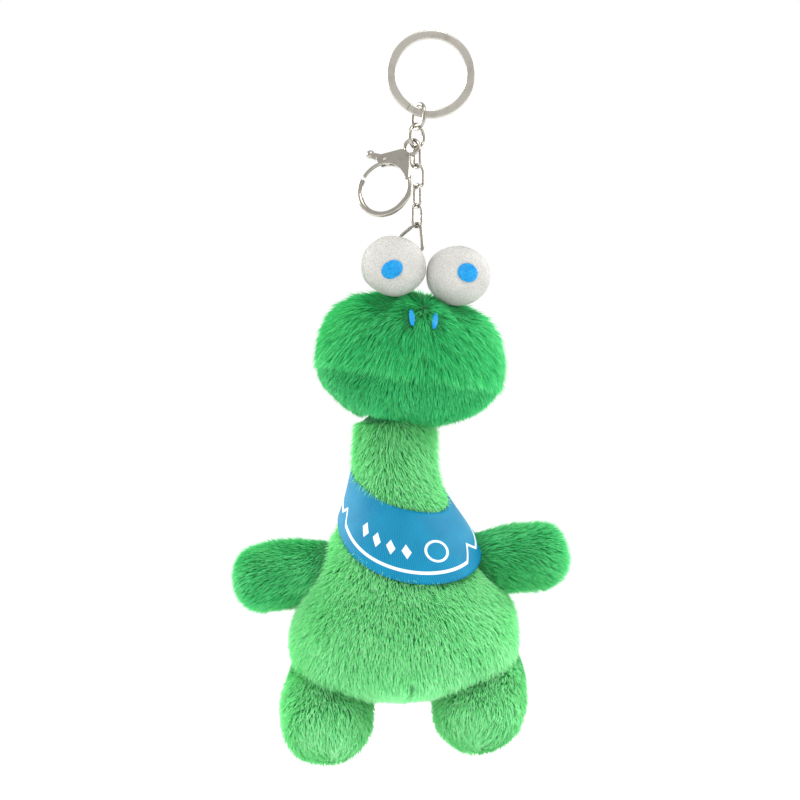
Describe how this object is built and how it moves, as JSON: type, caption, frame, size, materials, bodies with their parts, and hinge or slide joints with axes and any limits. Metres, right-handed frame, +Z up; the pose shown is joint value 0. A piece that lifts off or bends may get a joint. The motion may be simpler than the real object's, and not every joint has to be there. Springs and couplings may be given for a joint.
{
  "type": "plush toy keychain",
  "caption": "Stuffed dinosaur of green pile fabric with ball eyes and a ribbon scarf, hung by a short chain from a split key ring with a lobster clasp.",
  "frame": {"origin": "the hanging point: the inner top of the split key ring, midway through its thickness", "axes": "+Z up towards the key ring, the toy faces -Y, +X is the toy's own left; the object hangs down from the origin"},
  "size_m": [0.1139, 0.0753, 0.2496],
  "materials": {
    "nickel": "nickel plated, bright, slightly worn",
    "spring_steel": "plain spring wire",
    "green_pile": "short pile plush, slightly glossy fibres",
    "white_pile": "velboa, very short pile",
    "blue_thread": "satin stitch",
    "blue_ribbon": "ribbed grosgrain",
    "strap_ribbon": "woven tape",
    "fibre_filling": "loose polyester fibre"
  },
  "bodies": {
    "key_ring": {"split_key_ring": "nickel"},
    "top_link": {"top_link": "nickel"},
    "jump_ring": {"jump_ring": "nickel"},
    "clasp": {"clasp_body": "nickel", "clasp_pin": "nickel", "clasp_spring": "spring_steel"},
    "clasp_lever": {"clasp_lever": "nickel"},
    "chain_link_1": {"chain_link_1": "nickel"},
    "chain_link_2": {"chain_link_2": "nickel"},
    "chain_link_3": {"chain_link_3": "nickel"},
    "chain_link_4": {"chain_link_4": "nickel"},
    "triangle_ring": {"triangle_ring": "nickel"},
    "head": {"anchor_strap": "strap_ribbon", "head_crown_cover": "green_pile", "head_chin_cover": "green_pile", "head_stuffing": "fibre_filling", "left_eye_cover": "white_pile", "right_eye_cover": "white_pile", "left_eye_stuffing": "fibre_filling", "right_eye_stuffing": "fibre_filling", "left_pupil": "blue_thread", "right_pupil": "blue_thread", "left_nostril": "blue_thread", "right_nostril": "blue_thread"},
    "torso": {"body_front_cover": "green_pile", "body_back_cover": "green_pile", "body_stuffing": "fibre_filling", "scarf": "blue_ribbon"},
    "left_arm": {"left_arm_cover": "green_pile", "left_arm_stuffing": "fibre_filling"},
    "right_arm": {"right_arm_cover": "green_pile", "right_arm_stuffing": "fibre_filling"},
    "left_leg": {"left_leg_cover": "green_pile", "left_leg_stuffing": "fibre_filling"},
    "right_leg": {"right_leg_cover": "green_pile", "right_leg_stuffing": "fibre_filling"},
    "tail": {"tail_cover": "green_pile", "tail_stuffing": "fibre_filling"}
  },
  "joints": [
    {"name": "top_link_swing", "type": "hinge", "parent": "key_ring", "child": "top_link", "pos_m": [-0.00375, 0, -0.02527], "axis": [0.9613, 0, -0.2756], "range_deg": [-40, 40]},
    {"name": "jump_ring_swing", "type": "hinge", "parent": "top_link", "child": "jump_ring", "pos_m": [-0.00481, 0, -0.03086], "axis": [0.466, -0.8829, -0.0572], "range_deg": [-20, 20]},
    {"name": "clasp_swing", "type": "hinge", "parent": "jump_ring", "child": "clasp", "pos_m": [-0.00632, -0.00216, -0.0366], "axis": [0.4394, 0.6275, -0.6428], "range_deg": [-12, 12]},
    {"name": "clasp_lever_press", "type": "hinge", "parent": "clasp", "child": "clasp_lever", "pos_m": [-0.01498, 0.00052, -0.04142], "axis": [-0.4193, -0.866, 0.2723], "range_deg": [0, 18], "stiffness_Nm_per_rad": 0.01, "springref_deg": -20.05},
    {"name": "chain_link_1_swing", "type": "hinge", "parent": "jump_ring", "child": "chain_link_1", "pos_m": [-0.00481, 0, -0.03756], "axis": [-0.5736, -0.8192, 0], "range_deg": [-12, 12]},
    {"name": "chain_link_2_swing", "type": "hinge", "parent": "chain_link_1", "child": "chain_link_2", "pos_m": [-0.00481, 0, -0.04411], "axis": [-0.4226, 0.9063, 0], "range_deg": [-30, 12]},
    {"name": "chain_link_3_swing", "type": "hinge", "parent": "chain_link_2", "child": "chain_link_3", "pos_m": [-0.00481, 0, -0.05086], "axis": [-0.8829, -0.4695, 0], "range_deg": [-25, 25]},
    {"name": "chain_link_4_swing", "type": "hinge", "parent": "chain_link_3", "child": "chain_link_4", "pos_m": [-0.00481, 0, -0.05761], "axis": [0.4384, -0.8988, 0], "range_deg": [-12, 25]},
    {"name": "triangle_ring_swing", "type": "hinge", "parent": "chain_link_4", "child": "triangle_ring", "pos_m": [-0.00481, 0, -0.06436], "axis": [0.6428, 0.766, 0], "range_deg": [-15, 15]},
    {"name": "toy_swing", "type": "hinge", "parent": "triangle_ring", "child": "head", "pos_m": [-0.00645, 0.00077, -0.07154], "axis": [0.828, -0.3861, -0.4067], "range_deg": [-40, 55]},
    {"name": "neck_bend", "type": "hinge", "parent": "head", "child": "torso", "pos_m": [-0.01243, 0.002, -0.13419], "axis": [0, 1, 0], "range_deg": [-10, 10], "stiffness_Nm_per_rad": 0.15},
    {"name": "left_arm_lift", "type": "hinge", "parent": "torso", "child": "left_arm", "pos_m": [0.01711, 0.002, -0.1784], "axis": [0, -1, 0], "range_deg": [-8, 30], "stiffness_Nm_per_rad": 0.03},
    {"name": "right_arm_lift", "type": "hinge", "parent": "torso", "child": "right_arm", "pos_m": [-0.03783, 0.002, -0.18089], "axis": [0, 1, 0], "range_deg": [-8, 30], "stiffness_Nm_per_rad": 0.03},
    {"name": "left_leg_swing", "type": "hinge", "parent": "torso", "child": "left_leg", "pos_m": [0.0184, 0.0045, -0.21788], "axis": [0.999, 0, 0.0454], "range_deg": [-12, 12], "stiffness_Nm_per_rad": 0.06},
    {"name": "right_leg_swing", "type": "hinge", "parent": "torso", "child": "right_leg", "pos_m": [-0.03554, 0.0045, -0.22033], "axis": [0.999, 0, 0.0454], "range_deg": [-12, 12], "stiffness_Nm_per_rad": 0.06},
    {"name": "tail_wag", "type": "hinge", "parent": "torso", "child": "tail", "pos_m": [-0.00929, 0.0257, -0.20329], "axis": [-0.0411, -0.4226, 0.9054], "range_deg": [-15, 15], "stiffness_Nm_per_rad": 0.01}
  ]
}
